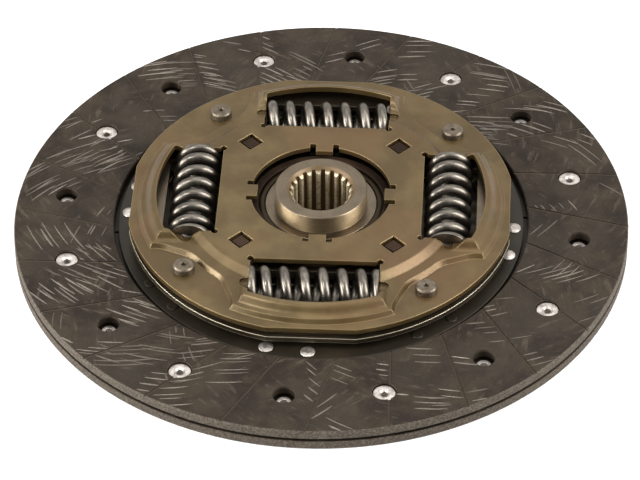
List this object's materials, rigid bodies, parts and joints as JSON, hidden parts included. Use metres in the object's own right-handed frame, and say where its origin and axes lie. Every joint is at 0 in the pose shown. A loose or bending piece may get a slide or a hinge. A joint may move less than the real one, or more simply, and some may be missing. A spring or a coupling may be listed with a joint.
{
  "type": "clutch disc",
  "caption": "Round clutch disc with two friction rings, pressed damper plates with coil springs in windows, and a splined hub that turns a little against the disc.",
  "frame": {"origin": "on the disc's axis, halfway between the two facings, inside the splined bore", "axes": "+Z along the axis towards the gearbox side, where the hub stands out; +X through the middle of a spring window"},
  "size_m": [0.215, 0.215, 0.0214],
  "materials": {
    "facing": "matte",
    "segment_steel": "satin",
    "carrier_coating": "matte",
    "plate_coating": "satin",
    "pin_steel": "satin",
    "rivet_steel": "satin",
    "ring_steel": "satin",
    "washer_steel": "satin",
    "dark_spring_steel": "satin",
    "friction_plastic": "matte",
    "hub_steel": "satin",
    "spring_steel": "satin"
  },
  "bodies": {
    "disc": {"facing_front": "facing", "facing_rear": "facing", "cushion_segment_1": "segment_steel", "cushion_segment_2": "segment_steel", "cushion_segment_3": "segment_steel", "cushion_segment_4": "segment_steel", "cushion_segment_5": "segment_steel", "cushion_segment_6": "segment_steel", "cushion_segment_7": "segment_steel", "cushion_segment_8": "segment_steel", "carrier_plate": "carrier_coating", "cover_plate": "plate_coating", "rear_retainer": "plate_coating", "stop_pins": "pin_steel", "facing_rivets_front": "rivet_steel", "facing_rivets_rear": "rivet_steel", "segment_rivets_front": "rivet_steel", "segment_rivets_rear": "rivet_steel", "friction_ring": "ring_steel", "tab_washer": "washer_steel", "disc_spring": "dark_spring_steel", "rear_bush": "friction_plastic", "rear_washer": "friction_plastic"},
    "hub": {"hub": "hub_steel"},
    "spring_set": {"damper_spring_1": "spring_steel", "damper_spring_2": "spring_steel", "damper_spring_3": "spring_steel", "damper_spring_4": "spring_steel"}
  },
  "joints": [
    {"name": "hub_turn", "type": "hinge", "parent": "disc", "child": "hub", "pos_m": [0, 0, 0], "axis": [0, 0, 1], "range_deg": [-12, 8], "stiffness_Nm_per_rad": 880, "deforming": ["damper_spring_1", "damper_spring_2", "damper_spring_3", "damper_spring_4"]},
    {"name": "spring_set_turn", "type": "hinge", "parent": "disc", "child": "spring_set", "pos_m": [0, 0, 0], "axis": [0, 0, 1], "range_deg": [-6, 4]}
  ],
  "couplings": [
    {"joint": "spring_set_turn", "follows": "hub_turn", "ratio": 0.5}
  ]
}
